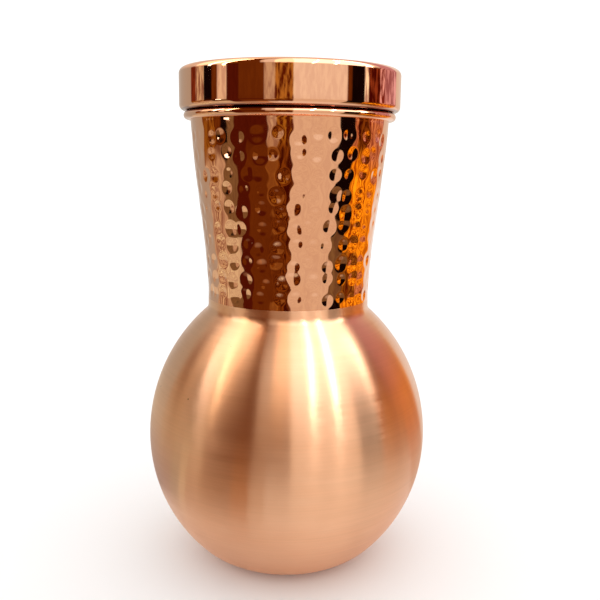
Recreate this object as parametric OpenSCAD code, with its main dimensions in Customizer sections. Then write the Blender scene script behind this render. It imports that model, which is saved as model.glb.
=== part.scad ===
// Round copper water jug with a hammered neck and a lift-off lid.
// Every piece is spun or rolled, so each one is a single outline turned about the Z axis.
// Millimetres. The origin is the centre of the flat base and +Z runs up through the mouth.

/* [Body] */
// Outer diameter of the round body at its widest ring
body_d = 141; // [118:0.5:170]
// Height of the widest ring above the base
belly_z = 63.7; // [53:0.1:77]
// Radius of the arc of the body's upper half
shoulder_arc_r = 84.8; // [70:0.1:102]
// Radius of the arc of the body's lower half
bowl_arc_r = 78.5; // [65:0.1:95]
// Radius of the heel that turns the bowl into the flat base
heel_r = 30; // [25:0.5:36]
// Sheet thickness of both halves of the body
body_wall = 0.7; // [0.5:0.05:1.2]
// Depth of the upper half's skirt inside the lower half
belly_lap = 5; // [3:0.5:8]

/* [Neck] */
// Outer diameter of the neck where it joins the body
waist_d = 80.4; // [66:0.1:97]
// Height of the neck from that joint to the top of the rim
neck_h = 90.2; // [70:0.1:110]
// Height of the body's straight collar, in which the neck is brazed
collar_h = 3.3; // [2:0.1:6]
// Radius of the hollow curve between the shoulder and the collar
collar_fillet_r = 4.5; // [3:0.1:8]
// Sheet thickness of the neck
neck_wall = 0.7; // [0.5:0.05:1.2]
// Height over which the neck leaves the waist before it flares
waist_pull = 26.5; // [10:0.5:32]
// Height over which the neck straightens again below the rim
mouth_pull = 22; // [8:0.5:32]

/* [Rim] */
// Outer diameter over the rolled rim of the mouth
rim_d = 102.4; // [85:0.1:123]
// Thickness of the rolled rim, sheet and wire together
rim_roll_d = 4; // [3.2:0.1:5]
// Play between the rim's wire and the sheet rolled around it
wire_play = 0.05; // [0.02:0.01:0.1]

/* [Lid] */
// How far the lid's wall stands out past the rim
lid_overhang = 1.95; // [0.5:0.05:6]
// Height of the lid from its underside to its flat top
lid_h = 19.6; // [14:0.1:26]
// Sheet thickness of the lid and its plug
lid_wall = 0.7; // [0.5:0.05:1.2]
// Radius of the lid's upper edge
lid_edge_r = 2.7; // [1.5:0.1:4]
// Radius of the hem that turns the lid's wall in under it
lid_hem_r = 2.7; // [1.5:0.1:4]
// Gap between the rim and the lid's underside when the lid is on
seat_gap = 0.1; // [0.05:0.01:0.3]

/* [Plug and seal] */
// Depth of the plug below the top of the rim
plug_depth = 15; // [12:0.5:24]
// Space between the plug's lower end and the neck
plug_gap = 1.5; // [1:0.1:3]
// Depth of the seal's middle below the top of the rim
seal_depth = 9; // [7:0.5:12]
// Height of the groove that holds the seal
groove_h = 4; // [3:0.1:5]
// Depth of the groove in the plug's wall
groove_depth = 1; // [0.6:0.1:1.5]
// Play of the seal in its groove
groove_play = 0.08; // [0.05:0.01:0.1]
// Play between the seal's lip and the neck
seal_play = 0.1; // [0.05:0.01:0.2]

/* [Joints in the metal] */
// Thickness of the filler metal in a lapped or sleeved joint
film = 0.1; // [0.05:0.01:0.2]
// Size of the small fillet of filler metal along a joint
filler = 1.2; // [0.8:0.1:2]
// Height over which a sheet steps in to lap inside another
joggle_h = 2.5; // [1.5:0.1:4]
// How far the neck's sleeve reaches below the straight collar
sleeve_past = 1; // [0.5:0.1:2]

/* [Hidden] */
$fn = 144;

// Body: both halves are arcs whose centres lie on the level of the widest ring.
belly_r = body_d / 2;
waist_r = waist_d / 2;
bowl_cr = belly_r - bowl_arc_r;
shoulder_cr = belly_r - shoulder_arc_r;
// The heel's circle touches the base plane and the inside of the bowl's circle.
heel_cr = bowl_cr + sqrt(pow(bowl_arc_r - heel_r, 2) - pow(belly_z - heel_r, 2));
heel_a = atan2(belly_z - heel_r, heel_cr - bowl_cr);
// The collar's hollow curve touches the collar and the outside of the shoulder's circle.
fillet_cr = waist_r + collar_fillet_r;
fillet_z = belly_z + sqrt(pow(shoulder_arc_r + collar_fillet_r, 2) - pow(fillet_cr - shoulder_cr, 2));
fillet_a = atan2(fillet_z - belly_z, fillet_cr - shoulder_cr);
waist_z = fillet_z + collar_h;
// Angles below and above the widest ring at which the skirt, its filler and its step end.
lap_a = asin(belly_lap / bowl_arc_r);
seam_a = asin((belly_lap + filler) / bowl_arc_r);
joggle_a = asin(joggle_h / shoulder_arc_r);
skirt_out = body_wall + film;

// Neck and rim: the sheet's inner face runs straight into the inner side of the roll.
mouth_z = waist_z + neck_h;
roll_r = rim_roll_d / 2;
roll_z = mouth_z - roll_r;
roll_cr = rim_d / 2 - roll_r;
mouth_r = roll_cr - roll_r + neck_wall;
sleeve_r = waist_r - body_wall - film;
sleeve_z = fillet_z - sleeve_past;
joggle_z = waist_z + joggle_h;
// Angle on the hollow curve at which the filler below the sleeve ends.
sleeve_fill_a = asin(min(0.9, (sleeve_past + filler) / (collar_fillet_r + body_wall)));

// Lid: the plug and the seal take their sizes from the neck's inside at their own depth.
lid_r = rim_d / 2 + lid_overhang;
lid_z = mouth_z + seat_gap;
lid_top = lid_z + lid_h;
plug_z = mouth_z - plug_depth;
plug_r = neck_inner_r(plug_z) - plug_gap;
seal_z = mouth_z - seal_depth;
groove_r = plug_r - groove_depth;
groove_low = seal_z - groove_h / 2;
groove_top = seal_z + groove_h / 2;
// The seal's lip is upright over its middle, between a chamfer below and a slope above.
seal_low = groove_low + groove_play;
seal_top = groove_top - groove_play;
lip_chamfer = (seal_top - seal_low) / 4;
lip_low = seal_low + lip_chamfer;
lip_top = lip_low + lip_chamfer;
lip_r = neck_inner_r(lip_low) - seal_play;

// Number of straight steps in a long arc, a short arc and the skirt
steps = 24;
short_steps = 12;
lap_steps = 6;

// Points on an arc about [cr, cz] from angle a0 to a1, measured from +R towards +Z
function arc(cr, cz, r, a0, a1, n = steps) =
    [for (i = [0 : n]) let (a = a0 + (a1 - a0) * i / n) [cr + r * cos(a), cz + r * sin(a)]];

// The same list of points from its last to its first
function back(points) = [for (i = [len(points) - 1 : -1 : 0]) points[i]];

// One coordinate of the neck's curve at parameter t: a cubic with end values a and d, handles b and c
function cubic(a, b, c, d, t) =
    a * pow(1 - t, 3) + 3 * b * t * pow(1 - t, 2) + 3 * c * t * t * (1 - t) + d * pow(t, 3);

// The neck's outer face leaves the waist upright, flares, and meets the rim upright again
function neck_r(t) = cubic(waist_r, waist_r, mouth_r, mouth_r, t);
function neck_z(t) = cubic(waist_z, waist_z + waist_pull, roll_z - mouth_pull, roll_z, t);

// Parameter of the neck's curve at height z, found by halving
function neck_t(z, low = 0, high = 1, n = 24) =
    n == 0 ? (low + high) / 2
    : neck_z((low + high) / 2) < z ? neck_t(z, (low + high) / 2, high, n - 1)
    : neck_t(z, low, (low + high) / 2, n - 1);

// Radius of the neck's inner face at height z
function neck_inner_r(z) = neck_r(neck_t(z)) - neck_wall;

// The neck's face, wall mm inside its outer face, from parameter t0 up to the rim
function neck_face(wall, t0 = 0) =
    [for (i = [0 : 2 * steps]) let (t = t0 + (1 - t0) * i / (2 * steps)) [neck_r(t) - wall, neck_z(t)]];

// The stretch of the bowl's face along the lap and its filler
function seam_face(wall) = arc(bowl_cr, belly_z, bowl_arc_r - wall, 0, -seam_a, short_steps);

// The bowl's face, wall mm inside its outer face, from the widest ring down to the base
function bowl_face(wall) = concat(
    seam_face(wall),
    arc(bowl_cr, belly_z, bowl_arc_r - wall, -seam_a, -heel_a),
    arc(heel_cr, heel_r, heel_r - wall, -heel_a, -90),
    [[0, wall]]);

// The shoulder's face, wall mm inside its outer face, from angle a0 up to the collar's top
function shoulder_face(wall, a0 = 0) = concat(
    arc(shoulder_cr, belly_z, shoulder_arc_r - wall, a0, fillet_a),
    arc(fillet_cr, fillet_z, collar_fillet_r + wall, 180 + fillet_a, 180, short_steps),
    [[waist_r - wall, waist_z]]);

// A face of the skirt that laps inside the bowl, from the widest ring down
function skirt_face(wall) = arc(bowl_cr, belly_z, bowl_arc_r - wall, 0, -lap_a, lap_steps);

module turned(points) {
    rotate_extrude() polygon(points);
}

// Lower half of the body, spun from one disc, with its flat base
module base_bowl() {
    color("#c98d68") turned(concat(bowl_face(0), back(bowl_face(body_wall))));
}

// Upper half of the body: a skirt set in by one sheet, the shoulder, and the collar for the neck
module shoulder_shell() {
    color("#d09873") turned(concat(
        shoulder_face(0),
        back(shoulder_face(body_wall, joggle_a)),
        skirt_face(skirt_out + body_wall),
        back(skirt_face(skirt_out))));
}

// Filler metal in the lap at the widest ring, with its fillet along the skirt's lower edge
module belly_braze() {
    color("#c9a25a") turned(concat(
        seam_face(body_wall),
        [skirt_face(skirt_out + body_wall)[lap_steps]],
        back(skirt_face(skirt_out))));
}

// Hammered neck: a sleeve that drops into the collar, the flared wall, and the rim rolled outwards
module neck() {
    color("#cf8a64") rotate_extrude() difference() {
        union() {
            polygon(concat(
                neck_face(0),
                back(neck_face(neck_wall, neck_t(joggle_z))),
                [[sleeve_r - neck_wall, waist_z],
                 [sleeve_r - neck_wall, sleeve_z],
                 [sleeve_r, sleeve_z],
                 [sleeve_r, waist_z]]));
            translate([roll_cr, roll_z]) circle(r = roll_r);
        }
        translate([roll_cr, roll_z]) circle(r = roll_r - neck_wall);
    }
}

// Filler metal between the collar and the neck's sleeve, with its fillet under the sleeve
module neck_braze() {
    color("#c9a25a") turned(concat(
        [[waist_r - body_wall, waist_z]],
        arc(fillet_cr, fillet_z, collar_fillet_r + body_wall, 180, 180 + sleeve_fill_a, lap_steps),
        [[sleeve_r - neck_wall, sleeve_z],
         [sleeve_r, sleeve_z],
         [sleeve_r, waist_z]]));
}

// Ring of soft wire that the rim is rolled around
module rim_wire() {
    color("#b87a52") rotate_extrude() translate([roll_cr, roll_z])
        circle(r = roll_r - neck_wall - wire_play);
}

// Silicone ring: a flat band in the plug's groove, and a rounded lip that meets the neck
module lid_seal() {
    band_r = groove_r + groove_play;
    color("#d9d6cf") turned([
        [band_r, seal_low],
        [lip_r - lip_chamfer, seal_low],
        [lip_r, lip_low],
        [lip_r, lip_top],
        [plug_r, seal_top],
        [band_r, seal_top]]);
}

// Plug that drops into the mouth: an open ring with a rolled groove and a flange held by the hem
module lid_plug() {
    flange_r = lid_r - lid_hem_r;
    flange_z = lid_z + lid_wall;
    color("#c98d68") turned([
        [flange_r, flange_z],
        [plug_r, flange_z],
        [plug_r, groove_top],
        [groove_r, groove_top],
        [groove_r, groove_low],
        [plug_r, groove_low],
        [plug_r, plug_z],
        [plug_r - lid_wall, plug_z],
        [plug_r - lid_wall, groove_low - lid_wall],
        [groove_r - lid_wall, groove_low - lid_wall],
        [groove_r - lid_wall, groove_top + lid_wall],
        [plug_r - lid_wall, groove_top + lid_wall],
        [plug_r - lid_wall, flange_z + lid_wall],
        [flange_r, flange_z + lid_wall]]);
}

// The lid's face, wall mm inside its outer face, from the middle of the top round to the hem
function lid_face(wall) = concat(
    [[0, lid_top - wall]],
    arc(lid_r - lid_edge_r, lid_top - lid_edge_r, lid_edge_r - wall, 90, 0, short_steps),
    arc(lid_r - lid_hem_r, lid_z + lid_hem_r, lid_hem_r - wall, 0, -90, short_steps),
    [[plug_r + film, lid_z + wall]]);

// Drawn cap with its flat top, upright wall, and hem turned in under the plug's flange
module lid_cap() {
    color("#c8835d") turned(concat(lid_face(0), back(lid_face(lid_wall))));
}

// Solder between the plug and the cap's hem, with its fillet on the underside
module lid_solder() {
    color("#b9b4aa") turned([
        [plug_r, lid_z + lid_wall],
        [plug_r, lid_z - filler],
        [plug_r + film + filler, lid_z],
        [plug_r + film, lid_z],
        [plug_r + film, lid_z + lid_wall]]);
}

base_bowl();
shoulder_shell();
belly_braze();
neck();
neck_braze();
rim_wire();
lid_seal();
lid_plug();
lid_cap();
lid_solder();
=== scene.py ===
import bmesh
import bpy
import numpy as np
from mathutils import Matrix, Vector


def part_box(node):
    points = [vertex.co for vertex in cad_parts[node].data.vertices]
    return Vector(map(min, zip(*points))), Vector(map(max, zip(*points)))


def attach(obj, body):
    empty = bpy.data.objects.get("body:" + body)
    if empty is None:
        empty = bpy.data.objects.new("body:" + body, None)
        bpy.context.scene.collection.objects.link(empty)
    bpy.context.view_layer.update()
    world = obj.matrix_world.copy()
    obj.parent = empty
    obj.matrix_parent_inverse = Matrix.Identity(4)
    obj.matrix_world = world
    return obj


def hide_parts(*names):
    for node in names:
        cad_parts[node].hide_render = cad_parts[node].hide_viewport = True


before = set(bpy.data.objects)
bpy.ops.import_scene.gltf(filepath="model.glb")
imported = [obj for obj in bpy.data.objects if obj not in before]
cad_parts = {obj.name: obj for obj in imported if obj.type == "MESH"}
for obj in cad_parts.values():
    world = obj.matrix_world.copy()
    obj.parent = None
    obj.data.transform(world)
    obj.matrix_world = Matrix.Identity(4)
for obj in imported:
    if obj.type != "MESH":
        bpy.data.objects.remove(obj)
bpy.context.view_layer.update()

# Camera. It stands close to the jug and a little above the middle of the neck, as someone at the
# table sees it, so the lid shows its wall and only a sliver of its top.
MM = 0.001
EYE = Vector((6, -375, 202)) * MM
EYE_DOWN = np.radians(10.6)
EYE_ROLL = np.radians(0.7)

camera = bpy.data.objects.new("camera", bpy.data.cameras.new("camera"))
camera.data.lens = 45
camera.data.sensor_width = 36
camera.data.clip_start = 0.01
camera.matrix_world = (Matrix.Translation(EYE) @ Matrix.Rotation(np.pi / 2 - EYE_DOWN, 4, "X")
                       @ Matrix.Rotation(EYE_ROLL, 4, "Z"))
bpy.context.scene.collection.objects.link(camera)
bpy.context.scene.camera = camera
bpy.context.scene.view_settings.view_transform = "Standard"


# Base bowl. The lower half of the round body: a disc of copper sheet spun over a former, with a
# flat base, then brushed on the lathe so that its fine lines run round the jug.
SHEET = 0.7 * MM
COLUMNS = 384


def reach(node):
    """The radius that a round node fills inside its box: the least of its four reaches from the axis."""
    low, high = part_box(node)
    return min(high.x, high.y, -low.x, -low.y)


def arc(centre, radius, start, end, count):
    """(radius, height) rows at centre + radius (cos a, sin a), for a from start to end in degrees."""
    a = np.radians(np.linspace(start, end, count))
    return np.stack([centre[0] + radius * np.cos(a), centre[1] + radius * np.sin(a)], 1)


def turned(name, outline, columns=COLUMNS, closed=True, dents=None):
    """An outline turned about Z: point i at column j is (r cos a, r sin a, z), with a = 2 pi j / columns.

    A closed outline is a ring's section; an open one runs from the axis back to the axis. The outline goes
    anticlockwise with the radius to the right and the height up, so faces point out. dents is added to the
    radius, as an array of one value for each point and column."""
    r = np.repeat(outline[:, :1], columns, 1)
    z = np.repeat(outline[:, 1:], columns, 1)
    if dents is not None:
        r = r + dents
    a = 2 * np.pi * np.arange(columns) / columns
    points = np.stack([r * np.cos(a), r * np.sin(a), z], -1).reshape(-1, 3)
    rows = len(outline)
    i = np.arange(rows if closed else rows - 1)[:, None]
    j = np.arange(columns)[None, :]
    here, up = i * columns, (i + 1) % rows * columns
    ahead = (j + 1) % columns
    quads = np.stack([here + j, here + ahead, up + ahead, up + j], -1).reshape(-1, 4)
    mesh = bpy.data.meshes.new(name)
    mesh.from_pydata(points, [], quads)
    if not closed:
        close_poles(mesh)
    mesh.shade_smooth()
    mesh.set_sharp_from_angle(angle=np.radians(35))
    piece = bpy.data.objects.new(name, mesh)
    bpy.context.scene.collection.objects.link(piece)
    return piece


def close_poles(mesh):
    """Points that lie on the axis become one, so the first and last rings of faces close as triangles."""
    shape = bmesh.new()
    shape.from_mesh(mesh)
    bmesh.ops.remove_doubles(shape, verts=shape.verts, dist=1e-7)
    shape.to_mesh(mesh)
    shape.free()


belly_r = reach("base_bowl")
belly_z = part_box("base_bowl")[1].z
BOWL_ARC = 78.5 * MM
HEEL = 30 * MM
bowl_centre = np.array([belly_r - BOWL_ARC, belly_z])
heel_centre = np.array([bowl_centre[0] + np.sqrt((BOWL_ARC - HEEL) ** 2 - (belly_z - HEEL) ** 2), HEEL])
heel_turn = np.degrees(np.arctan2(belly_z - HEEL, heel_centre[0] - bowl_centre[0]))


def bowl_face(depth):
    """The bowl's face, depth inside its outer one, from the axis up to the widest ring.

    It is a flat, then the heel's arc, then the side's arc, with depth taken off both radii. The arcs'
    centres lie in line with the point where they meet, so one runs smoothly into the other."""
    flat = np.stack([np.linspace(0, heel_centre[0], 12, endpoint=False), np.full(12, depth)], 1)
    return np.concatenate([
        flat,
        arc(heel_centre, HEEL - depth, -90, -heel_turn, 26)[:-1],
        arc(bowl_centre, BOWL_ARC - depth, -heel_turn, 0, 60)])


bowl = turned("bowl", np.concatenate([bowl_face(0), bowl_face(SHEET)[::-1]]), closed=False)
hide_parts("base_bowl")
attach(bowl, "jug")


def linear(code):
    """An sRGB hex colour as linear (r, g, b, 1): c / 12.92 when c is dark, else ((c + 0.055) / 1.055)^2.4."""
    c = np.array([int(code[i:i + 2], 16) for i in (0, 2, 4)]) / 255
    c = np.where(c <= 0.04045, c / 12.92, ((c + 0.055) / 1.055) ** 2.4)
    return (*c, 1.0)


def add_node(tree, kind, settings=None, **sockets):
    """A node of that kind. settings are its properties; a socket takes a value, or another node's output.

    A socket goes by its name, or by its place where names repeat, so _6 is the socket at place 6."""
    node = tree.nodes.new(kind)
    for name, value in (settings or {}).items():
        setattr(node, name, value)
    for name, value in sockets.items():
        socket = node.inputs[int(name[1:])] if name[0] == "_" else node.inputs[name.replace("_", " ")]
        if isinstance(value, bpy.types.NodeSocket):
            tree.links.new(value, socket)
        else:
            socket.default_value = value
    return node


def new_finish(name, kind="ShaderNodeBsdfPrincipled"):
    """A node material that holds only a shader of that kind: (material, tree, shader)."""
    finish = bpy.data.materials.new(name)
    finish.use_nodes = True
    tree = finish.node_tree
    tree.nodes.clear()
    shader = add_node(tree, kind)
    add_node(tree, "ShaderNodeOutputMaterial", Surface=shader.outputs[0])
    return finish, tree, shader


def set_shader(shader, **values):
    """Constants go on the shader's own sockets."""
    for name, value in values.items():
        shader.inputs[name.replace("_", " ")].default_value = value


def object_noise(tree, stretch, scale, detail=3.0):
    """Noise on Object coordinates, each axis first multiplied by stretch."""
    place = add_node(tree, "ShaderNodeTexCoord").outputs["Object"]
    mapped = add_node(tree, "ShaderNodeMapping", Vector=place, Scale=stretch)
    return add_node(tree, "ShaderNodeTexNoise", Vector=mapped.outputs[0], Scale=scale,
                    Detail=detail, Roughness=0.55).outputs["Fac"]


# Satin copper: brushed on the lathe with a fine abrasive, whose lines run round the jug. The lines
# spread a reflection up and down and keep it narrow sideways, so lights become soft upright streaks.
def satin_copper():
    finish, tree, shader = new_finish("satin_copper")
    set_shader(shader, Metallic=1.0, Anisotropic=1.0)
    # Abrasive lines, in bands a few millimetres wide. Real ones are some 0.1 mm apart, too fine to show,
    # so they are drawn 0.9 mm apart and about 60 mm long
    lines = object_noise(tree, (0.015, 0.015, 1), 1 / (0.9 * MM), 1.0)
    bands = object_noise(tree, (0.08, 0.08, 1), 1 / (5 * MM), 2.0)
    patches = object_noise(tree, (1, 1, 3), 1 / (25 * MM), 3.0)
    mix = add_node(tree, "ShaderNodeMix", {"data_type": "RGBA"}, Factor=patches,
                   _6=linear("f8c29c"), _7=linear("f2b68e"))
    lined = add_node(tree, "ShaderNodeMix", {"data_type": "RGBA", "blend_type": "MULTIPLY"}, Factor=0.1,
                     _6=mix.outputs[2], _7=lines)
    # A few dark specks of tarnish, up to 0.8 mm across
    place = add_node(tree, "ShaderNodeTexCoord").outputs["Object"]
    cell = add_node(tree, "ShaderNodeTexVoronoi", Vector=place, Scale=1 / (14 * MM)).outputs["Distance"]
    speck = add_node(tree, "ShaderNodeMapRange", Value=cell, From_Min=0.4 / 14, From_Max=0.25 / 14)
    specked = add_node(tree, "ShaderNodeMix", {"data_type": "RGBA"}, Factor=speck.outputs[0],
                       _6=lined.outputs[2], _7=linear("5a3018"))
    tree.links.new(specked.outputs[2], shader.inputs["Base Color"])
    rough = add_node(tree, "ShaderNodeMapRange", Value=bands, To_Min=0.26, To_Max=0.34)
    tree.links.new(rough.outputs[0], shader.inputs["Roughness"])
    # Each line runs a few degrees off level, which frets the edges of the streaks
    slope = add_node(tree, "ShaderNodeMapRange", Value=lines, From_Min=0.3, From_Max=0.7,
                     To_Min=0.241, To_Max=0.259)
    tree.links.new(slope.outputs[0], shader.inputs["Anisotropic Rotation"])
    bump = add_node(tree, "ShaderNodeBump", Strength=0.06, Distance=0.02 * MM, Height=lines)
    tree.links.new(bump.outputs[0], shader.inputs["Normal"])
    tangent = add_node(tree, "ShaderNodeTangent", {"direction_type": "RADIAL", "axis": "Z"})
    tree.links.new(tangent.outputs[0], shader.inputs["Tangent"])
    return finish


satin = satin_copper()
bowl.data.materials.append(satin)


# Shoulder shell. The upper half of the body, spun from a second disc. It laps inside the bowl at
# the widest ring, and a small hollow curve turns it up into the collar that holds the neck.
SHOULDER_ARC = 84.8 * MM
COLLAR_CURVE = 4.5 * MM
COLLAR_H = 3.3 * MM
FILM = 0.1 * MM
LAP = 5 * MM
JOGGLE = 2.5 * MM
WAIST_R = 40.2 * MM

waist_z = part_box("shoulder_shell")[1].z
shoulder_centre = np.array([belly_r - SHOULDER_ARC, belly_z])
curve_centre = np.array([WAIST_R + COLLAR_CURVE, waist_z - COLLAR_H])
curve_turn = np.degrees(np.arctan2(curve_centre[1] - belly_z, curve_centre[0] - shoulder_centre[0]))


def shoulder_face(depth, start=0.0):
    """The shoulder's face, depth inside its outer one, from the angle start up to the collar's top.

    It is the shoulder's arc, then the hollow curve about a centre outside it, then an upright line. depth is
    taken off the first radius and added to the second."""
    return np.concatenate([
        arc(shoulder_centre, SHOULDER_ARC - depth, start, curve_turn, 70)[:-1],
        arc(curve_centre, COLLAR_CURVE + depth, 180 + curve_turn, 180, 14),
        [[WAIST_R - depth, waist_z]]])


def skirt_face(depth):
    """The skirt's face, from the widest ring down: the bowl's own arc with depth taken off its radius."""
    return arc(bowl_centre, BOWL_ARC - depth, 0, -np.degrees(np.arcsin(LAP / BOWL_ARC)), 7)


shoulder = turned("shoulder", np.concatenate([
    shoulder_face(0),
    shoulder_face(SHEET, np.degrees(np.arcsin(JOGGLE / SHOULDER_ARC)))[::-1],
    skirt_face(2 * SHEET + FILM),
    skirt_face(SHEET + FILM)[::-1]]))
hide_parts("shoulder_shell")
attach(shoulder, "jug")
shoulder.data.materials.append(satin)


# Neck. A flared tube of copper sheet, struck all round with a ball hammer while it sits on a stake,
# then polished. Its mouth is rolled outwards over a wire, and its foot drops into the collar.
NECK_COLUMNS = 440
BLOWS = 34
BLOW_STEP = 8.05 * MM
BLOW_R = np.array([2.9, 4.5]) * MM
BLOW_DEPTH = (0.08, 0.13)
WAVE = 0.12 * MM
FADE = 4 * MM
WAIST_PULL = 26.5 * MM
MOUTH_PULL = 22 * MM
ROLL_R = 2 * MM
# Degrees at which the roll leaves the wall, and the share of the curve below which the sleeve is inside
ROLL_START = -128
INSIDE_START = 0.03

mouth_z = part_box("neck")[1].z
roll_outer = reach("neck")
roll_centre = np.array([roll_outer - ROLL_R, mouth_z - ROLL_R])
mouth_r = roll_centre[0] - ROLL_R + SHEET
sleeve_r = WAIST_R - SHEET - FILM
sleeve_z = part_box("neck")[0].z


def neck_face(depth, count, start=0.0):
    """The neck's face, depth inside its outer one, from the waist up to the rim.

    It is a cubic curve that is upright at both ends: (1-t)^3 A + 3t (1-t)^2 B + 3t^2 (1-t) C + t^3 D, with
    B above the waist A by WAIST_PULL and C below the rim D by MOUTH_PULL."""
    t = np.linspace(start, 1, count)
    ends = np.stack([(1 - t) ** 3, 3 * t * (1 - t) ** 2, 3 * t ** 2 * (1 - t), t ** 3], 1)
    r = ends @ np.array([WAIST_R, WAIST_R, mouth_r, mouth_r]) - depth
    z = ends @ np.array([waist_z, waist_z + WAIST_PULL, roll_centre[1] - MOUTH_PULL, roll_centre[1]])
    return np.stack([r, z], 1)


def hammer_marks(outline, columns):
    """How far the hammered surface lies from the smooth one at each point and column, never above zero.

    Blows fall in uneven rings round the neck, one ring each BLOW_STEP. Each leaves a round dent of radius
    R and a depth of BLOW_DEPTH times R, which is -depth (1 - d^2 / R^2)^2 at the distance d from its
    middle. The stake leaves slight waves between them: a sum of sin(k a + m z + p) over a few counts k,
    steps m and phases p, which fades out at the collar and below the rolled rim."""
    rng = np.random.default_rng(7)
    a = 2 * np.pi * np.arange(columns) / columns
    r, z = outline[:, :1], outline[:, 1:]
    depth = np.zeros((len(outline), columns))
    for height in np.arange(waist_z + 5.3 * MM, mouth_z - 12 * MM, BLOW_STEP):
        turn = (np.arange(BLOWS) + rng.uniform(-0.24, 0.24, BLOWS) + rng.uniform(-0.15, 0.15)) / BLOWS
        middle = height + rng.uniform(-1.7, 1.7, BLOWS) * MM
        size = rng.uniform(*BLOW_R, BLOWS)
        deep = size * rng.uniform(*BLOW_DEPTH, BLOWS)
        for k in range(BLOWS):
            across = (a - 2 * np.pi * turn[k] + np.pi) % (2 * np.pi) - np.pi
            d = np.minimum(((across * r) ** 2 + (z - middle[k]) ** 2) / size[k] ** 2, 1)
            depth = np.minimum(depth, -deep[k] * (1 - d) ** 2)
    wave = np.zeros_like(depth)
    for k, m, p in zip(rng.integers(14, 36, 12), rng.uniform(-700, 700, 12), rng.uniform(0, 6.28, 12)):
        wave += np.sin(k * a + m * z + p)
    fade = np.clip((z - waist_z) / FADE, 0, 1) * np.clip((mouth_z - 5 * MM - z) / FADE, 0, 1)
    return depth - WAVE * (1 + wave / 12) * fade


outside = neck_face(0, 140)
outside = outside[outside[:, 1] < roll_centre[1] - ROLL_R]
inside = neck_face(SHEET, 50, INSIDE_START)[-2::-1]
roll = arc(roll_centre, ROLL_R, ROLL_START, 180, 22)
foot = np.array([[sleeve_r - SHEET, waist_z], [sleeve_r - SHEET, sleeve_z],
                 [sleeve_r, sleeve_z], [sleeve_r, waist_z]])
section = np.concatenate([outside, roll, inside, foot])
struck = np.repeat([1, 0, 1, 0], [len(outside), len(roll), len(inside), len(foot)])
dents = hammer_marks(section, NECK_COLUMNS) * struck[:, None]
neck = turned("neck_wall", section, NECK_COLUMNS, dents=dents)
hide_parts("neck")
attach(neck, "jug")


# Hammered copper: struck bright, then buffed. It mirrors the room, broken up by the dents. The very top
# of the rim, in the gap under the lid, gets a thin line of brown painted shade.
def painted_gap_shade(tree, colour, shade_start, shade_full):
    """The colour, turning to a brown painted shade as the height goes from the first given height to the
    second, in metres.
    """
    place = add_node(tree, "ShaderNodeTexCoord").outputs["Object"]
    z = add_node(tree, "ShaderNodeSeparateXYZ", Vector=place).outputs["Z"]
    share = add_node(tree, "ShaderNodeMapRange", Value=z, From_Min=shade_start, From_Max=shade_full)
    return add_node(tree, "ShaderNodeMix", {"data_type": "RGBA"}, Factor=share.outputs[0],
                    _6=colour, _7=linear("7a3c28")).outputs[2]


def hammered_copper():
    finish, tree, shader = new_finish("hammered_copper")
    set_shader(shader, Metallic=1.0, Roughness=0.05)
    patches = object_noise(tree, (1, 1, 1), 1 / (14 * MM), 3.0)
    mix = add_node(tree, "ShaderNodeMix", {"data_type": "RGBA"}, Factor=patches,
                   _6=linear("f6bc98"), _7=linear("efb18a"))
    # Painted shade: a thin brown line at the very top of the rim, where it sits in the gap under the lid
    colour = painted_gap_shade(tree, mix.outputs[2], mouth_z - 0.7 * MM, mouth_z - 0.2 * MM)
    tree.links.new(colour, shader.inputs["Base Color"])
    return finish


neck.data.materials.append(hammered_copper())


# Lid cap. A shallow cup drawn from one disc, polished to a mirror, with its wall turned in below
# as a round hem that sits on the rim.
LID_EDGE = 2.7 * MM
LID_HEM = 2.7 * MM
SOLDER_W = 1.3 * MM

lid_r = reach("lid_cap")
lid_low, lid_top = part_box("lid_cap")[0].z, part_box("lid_cap")[1].z
plug_r = reach("lid_solder") - SOLDER_W


def lid_face(depth):
    """The cap's face, depth inside its outer one, from the hem's inner edge to the middle of the top.

    It is the flat under the hem, the hem's quarter circle, the upright wall, the edge's quarter circle and
    the flat top, with depth taken off both radii."""
    return np.concatenate([
        [[plug_r + FILM, lid_low + depth]],
        arc((lid_r - LID_HEM, lid_low + LID_HEM), LID_HEM - depth, -90, 0, 20),
        arc((lid_r - LID_EDGE, lid_top - LID_EDGE), LID_EDGE - depth, 0, 90, 20),
        np.stack([np.linspace(lid_r - LID_EDGE, 0, 20)[1:], np.full(19, lid_top - depth)], 1)])


cap_inner = lid_face(SHEET)[::-1]
cap = turned("cap", np.concatenate([cap_inner, lid_face(0)]), closed=False)
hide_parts("lid_cap")
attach(cap, "lid")


# Polished copper: a mirror, with the same line of brown painted shade low on the hem, where it faces the gap
# over the rim.
def polished_copper():
    finish, tree, shader = new_finish("polished_copper")
    set_shader(shader, Metallic=1.0, Roughness=0.03)
    patches = object_noise(tree, (1, 1, 1), 1 / (30 * MM), 3.0)
    mix = add_node(tree, "ShaderNodeMix", {"data_type": "RGBA"}, Factor=patches,
                   _6=linear("f6bc98"), _7=linear("f2b48e"))
    # Painted shade: a thin brown line low on the hem, where it faces the gap over the rim
    colour = painted_gap_shade(tree, mix.outputs[2], lid_low + 1.1 * MM, lid_low + 0.4 * MM)
    tree.links.new(colour, shader.inputs["Base Color"])
    return finish


cap.data.materials.append(polished_copper())


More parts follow.
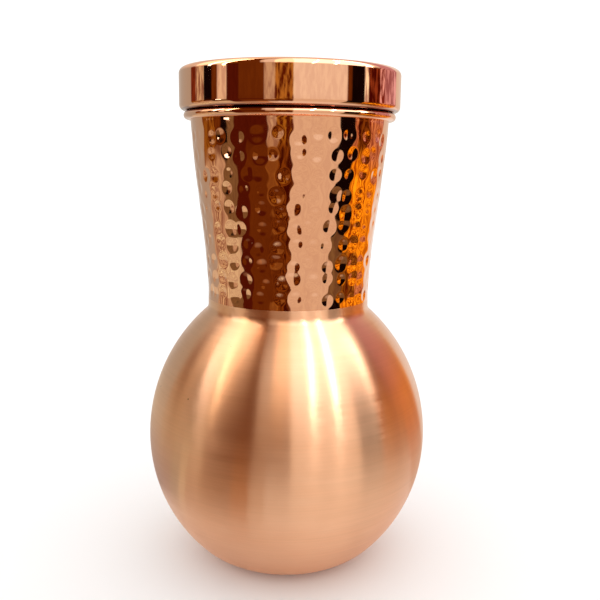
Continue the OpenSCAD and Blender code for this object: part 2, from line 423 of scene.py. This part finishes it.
# Lid plug. A straight band of copper inside the lid that reaches into the neck, with a groove for
# the seal and a flange soldered into the cap's hem. Left as the lathe leaves it, a little dull.
def worn_copper(name, colour, dull, roughness):
    """Bare metal in patches of two colours 12 mm across, a little rougher where it is duller."""
    finish, tree, shader = new_finish(name)
    set_shader(shader, Metallic=1.0)
    patches = object_noise(tree, (1, 1, 1), 1 / (12 * MM), 4.0)
    mix = add_node(tree, "ShaderNodeMix", {"data_type": "RGBA"}, Factor=patches,
                   _6=linear(colour), _7=linear(dull))
    tree.links.new(mix.outputs[2], shader.inputs["Base Color"])
    spread = add_node(tree, "ShaderNodeMapRange", Value=patches, To_Min=roughness - 0.05,
                      To_Max=roughness + 0.08)
    tree.links.new(spread.outputs[0], shader.inputs["Roughness"])
    return finish


def coat(node, finish):
    """A CAD node keeps its own mesh and takes that finish."""
    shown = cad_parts[node]
    shown.data.materials.clear()
    shown.data.materials.append(finish)
    shown.data.shade_smooth()


coat("lid_plug", worn_copper("plain_copper", "e8a888", "d49070", 0.22))

# Rim wire. A ring of copper wire inside the rolled rim; it can't be seen once the rim is rolled.
coat("rim_wire", worn_copper("copper_wire", "e0a080", "c88868", 0.25))

# Brazes and solder. Thin films of filler metal drawn into the two lap joints by heat, and a
# softer, greyer fillet of solder inside the lid's hem.
braze = worn_copper("braze", "e6c890", "d4b078", 0.35)
coat("belly_braze", braze)
coat("neck_braze", braze)
coat("lid_solder", worn_copper("solder", "c8c8c4", "b4b4b2", 0.35))


# Lid seal. A ring of clear-white food silicone in the plug's groove, moulded with a thin lip.
def silicone():
    finish, tree, shader = new_finish("silicone")
    set_shader(shader, Roughness=0.42, Subsurface_Weight=0.25, Subsurface_Scale=1.0)
    shader.inputs["Subsurface Radius"].default_value = (1.2 * MM, 1.0 * MM, 0.8 * MM)
    patches = object_noise(tree, (1, 1, 1), 1 / (8 * MM), 3.0)
    mix = add_node(tree, "ShaderNodeMix", {"data_type": "RGBA"}, Factor=patches,
                   _6=linear("e6e4de"), _7=linear("dcdad2"))
    tree.links.new(mix.outputs[2], shader.inputs["Base Color"])
    return finish


coat("lid_seal", silicone())


# Studio. A pale floor under an even white sky, and a ring of upright cards and flags around the jug:
# the copper mirrors them as upright stripes. Each card runs in over the floor, up and in overhead.
TONES = {
    "black": ("140706", 1.0), "maroon": ("521a0a", 1.0), "brown": ("6a360d", 1.0), "russet": ("76321c", 1.0),
    "wood": ("8b5a1d", 1.0), "ochre": ("95632c", 1.0), "honey": ("b69c84", 1.0), "amber": ("f0a01c", 1.1),
    "clay": ("cb8662", 1.0), "sand": ("cea47c", 1.0), "taupe": ("80684a", 1.0), "tan": ("c3ae9c", 1.0),
    "grey": ("b7b8b1", 1.0), "stone": ("b8b0b2", 1.0), "cream": ("dcd8c4", 1.0), "pale": ("e2d6c8", 1.05),
    "white": ("f4f2ee", 1.05), "rose": ("d2a0b4", 1.0), "glare": ("fff0dc", 2.1),
    "bright": ("ffffff", 2.5),
}
# Degrees round from the camera's side, to the right; tones over the floor, at the foot, beside the
# neck's foot, its head, the lid, and overhead; and how busy the card is. Behind, the last blends into
# the first.
CARDS = [
    (-140, -112, "stone", "cream", "grey", "grey", "grey", "pale", 0.0),
    (-112, -103, "stone", "cream", "tan", "wood", "russet", "white", 0.4),
    (-103, -90, "stone", "cream", "tan", "wood", "tan", "glare", 0.7),
    (-90, -79, "grey", "cream", "tan", "brown", "black", "glare", 0.3),
    (-79, -72, "cream", "cream", "taupe", "black", "brown", "glare", 0.2),
    (-72, -61, "tan", "cream", "taupe", "taupe", "pale", "glare", 0.2),
    (-61, -48, "honey", "maroon", "maroon", "maroon", "maroon", "wood", 0.1),
    (-48, -35, "honey", "brown", "brown", "maroon", "brown", "brown", 0.1),
    (-35, -26, "sand", "brown", "brown", "maroon", "brown", "brown", 0.1),
    (-26, -23, "sand", "brown", "brown", "maroon", "brown", "pale", 0.1),
    (-23, -13, "pale", "brown", "ochre", "tan", "tan", "white", 0.3),
    (-13, 4, "white", "brown", "brown", "wood", "ochre", "glare", 1.0),
    (4, 56, "white", "pale", "pale", "pale", "white", "bright", 0.08),
    (56, 61, "white", "taupe", "black", "black", "brown", "glare", 0.2),
    (61, 76, "white", "taupe", "black", "black", "black", "glare", 0.3),
    (76, 81, "white", "wood", "amber", "clay", "white", "glare", 0.6),
    (81, 90, "white", "wood", "amber", "brown", "russet", "glare", 1.0),
    (90, 98, "white", "wood", "amber", "brown", "russet", "white", 1.0),
    (98, 106, "white", "wood", "amber", "clay", "rose", "rose", 1.0),
    (106, 132, "pale", "clay", "amber", "clay", "rose", "rose", 0.6),
    (132, 178, "pale", "white", "white", "pale", "pale", "white", 0.0),
]
CARD_RING = 0.45
CARD_TOP = 1.2
CARD_BLEND = 0.8
# Where the six tones lie along a card: radius, height, the tone's place in the row above, and how
# many degrees the card leans away from the camera's side there
CARD_PATH = [(0.105, 0.001, 0, 0), (0.20, 0.001, 0, 0), (0.36, 0.001, 1, 0), (CARD_RING, 0.001, 1, 0),
             (CARD_RING, 0.046, 1, 0), (CARD_RING, 0.060, 2, 0), (CARD_RING, 0.135, 2, 0),
             (CARD_RING, 0.170, 3, 0), (CARD_RING, 0.21, 3, 0), (CARD_RING, 0.25, 4, 0),
             (CARD_RING, 0.31, 4, 0), (CARD_RING, 0.42, 5, 4), (CARD_RING, 0.80, 5, 22),
             (CARD_RING, CARD_TOP, 5, 35), (0.10, CARD_TOP, 5, 40)]


def only_mirrored(thing):
    """The thing shows in reflections only: it isn't seen by the camera, and it lights and shades nothing."""
    thing.visible_camera = False
    thing.visible_diffuse = False
    thing.visible_shadow = False
    thing.visible_transmission = False
    thing.visible_volume_scatter = False


def screen(name, turns, r, z, colours):
    """A shining sheet: at column angle a and row i, (r_i sin a, -r_i cos a, z_i); a is turns[i, column].

    colours is one (r, g, b, busy) for each row and column, kept in the colour layer "shine"."""
    a = np.radians(turns)
    rows, n = a.shape
    r, z = np.repeat(r[:, None], n, 1), np.repeat(z[:, None], n, 1)
    points = np.stack([r * np.sin(a), -r * np.cos(a), z], -1)
    i = (np.arange(rows - 1)[:, None] * n + np.arange(n - 1)[None, :]).ravel()
    mesh = bpy.data.meshes.new(name)
    mesh.from_pydata(points.reshape(-1, 3), [], np.stack([i, i + n, i + n + 1, i + 1], 1))
    layer = mesh.color_attributes.new("shine", "FLOAT_COLOR", "POINT")
    layer.data.foreach_set("color", colours.ravel())
    made = bpy.data.objects.new(name, mesh)
    bpy.context.scene.collection.objects.link(made)
    only_mirrored(made)
    return made


def card_shine():
    """Light of the colour layer; where its alpha is up, it is broken into deep red and bright blotches."""
    finish, tree, glow = new_finish("card_shine", "ShaderNodeEmission")
    layer = add_node(tree, "ShaderNodeAttribute", {"attribute_name": "shine"})
    blotch = object_noise(tree, (1, 1, 0.8), 1 / (26 * MM), 4.0)
    spot = add_node(tree, "ShaderNodeMapRange", Value=blotch, From_Min=0.42, From_Max=0.60)
    broken = add_node(tree, "ShaderNodeMix", {"data_type": "RGBA"}, Factor=spot.outputs[0],
                      _6=(0.36, 0.10, 0.05, 1), _7=(1.7, 2.0, 1.7, 1))
    part = add_node(tree, "ShaderNodeMix", {"data_type": "RGBA"}, Factor=layer.outputs["Alpha"],
                    _6=(1, 1, 1, 1), _7=broken.outputs[2])
    colour = add_node(tree, "ShaderNodeVectorMath", {"operation": "MULTIPLY"},
                      _0=layer.outputs["Color"], _1=part.outputs[2])
    tree.links.new(colour.outputs[0], glow.inputs["Color"])
    return finish


def tone(name, busy):
    """A tone's linear colour times its power, with the busy share as its alpha."""
    code, power = TONES[name]
    return (*(np.array(linear(code)[:3]) * power), busy)


shine = card_shine()
radius, height, place, lean = np.array(CARD_PATH).T
turns, columns = [], []
for start, end, *tones, busy in CARDS:
    across = np.linspace(start + CARD_BLEND, end - CARD_BLEND, max(2, int((end - start) / 3)))
    turns += list(across)
    columns += [[tone(tones[int(i)], busy * (0 < i < 5)) for i in place]] * len(across)
turns = np.array(turns + [turns[0] + 360])
columns.append(columns[0])
ring = screen("cards", turns + lean[:, None] * np.sin(np.radians(turns)), radius, height,
              np.array(columns).transpose(1, 0, 2))
ring.data.materials.append(shine)

# Lamps. Bright strips that make the body's streaks. From the camera they lie above or below what the
# lid's wall mirrors, and only a few of the neck's dents catch them. Each has the degrees of its two
# sides at its foot and at its head, the heights of both, its colour and its power.
LAMPS = [
    (-74, -67, -74, -67, 0.205, 0.24, "ffffff", 3.5),
    (-84, -80, -85, -78, 0.30, 1.19, "ffffff", 7.0),
    (-66, -62, -69, -63, 0.30, 1.19, "fff0d0", 9.0),
    (20.5, 22.5, 47.5, 50.5, 0.34, 1.19, "ffffff", 22.0),
    (41.5, 44.5, 83, 87.5, 0.34, 1.19, "ffffff", 20.0),
    (47, 75, 90, 103, 0.34, 1.19, "ffffff", 2.6),
    (78, 88, 105, 114, 0.34, 1.19, "ffffff", 7.0),
]
for number, (*sides, low, high, code, power) in enumerate(LAMPS):
    glow = (*(np.array(linear(code)[:3]) * power), 0.0)
    lamp = screen(f"lamp_{number}", np.array(sides).reshape(2, 2), np.full(2, CARD_RING - 0.01),
                  np.array([low, high]), np.full((2, 2, 4), glow))
    lamp.data.materials.append(shine)

floor_mesh = bpy.data.meshes.new("floor")
floor_mesh.from_pydata([(-6, -6, 0), (6, -6, 0), (6, 6, 0), (-6, 6, 0)], [], [(0, 1, 2, 3)])
floor = bpy.data.objects.new("floor", floor_mesh)
bpy.context.scene.collection.objects.link(floor)
floor_finish, _, floor_shader = new_finish("pale_floor")
set_shader(floor_shader, Base_Color=linear("fafafa"), Roughness=0.9)
floor.data.materials.append(floor_finish)

world = bpy.data.worlds.new("white_sky")
bpy.context.scene.world = world
world.use_nodes = True
world.node_tree.nodes["Background"].inputs["Color"].default_value = (1, 1, 1, 1)
world.node_tree.nodes["Background"].inputs["Strength"].default_value = 1.15
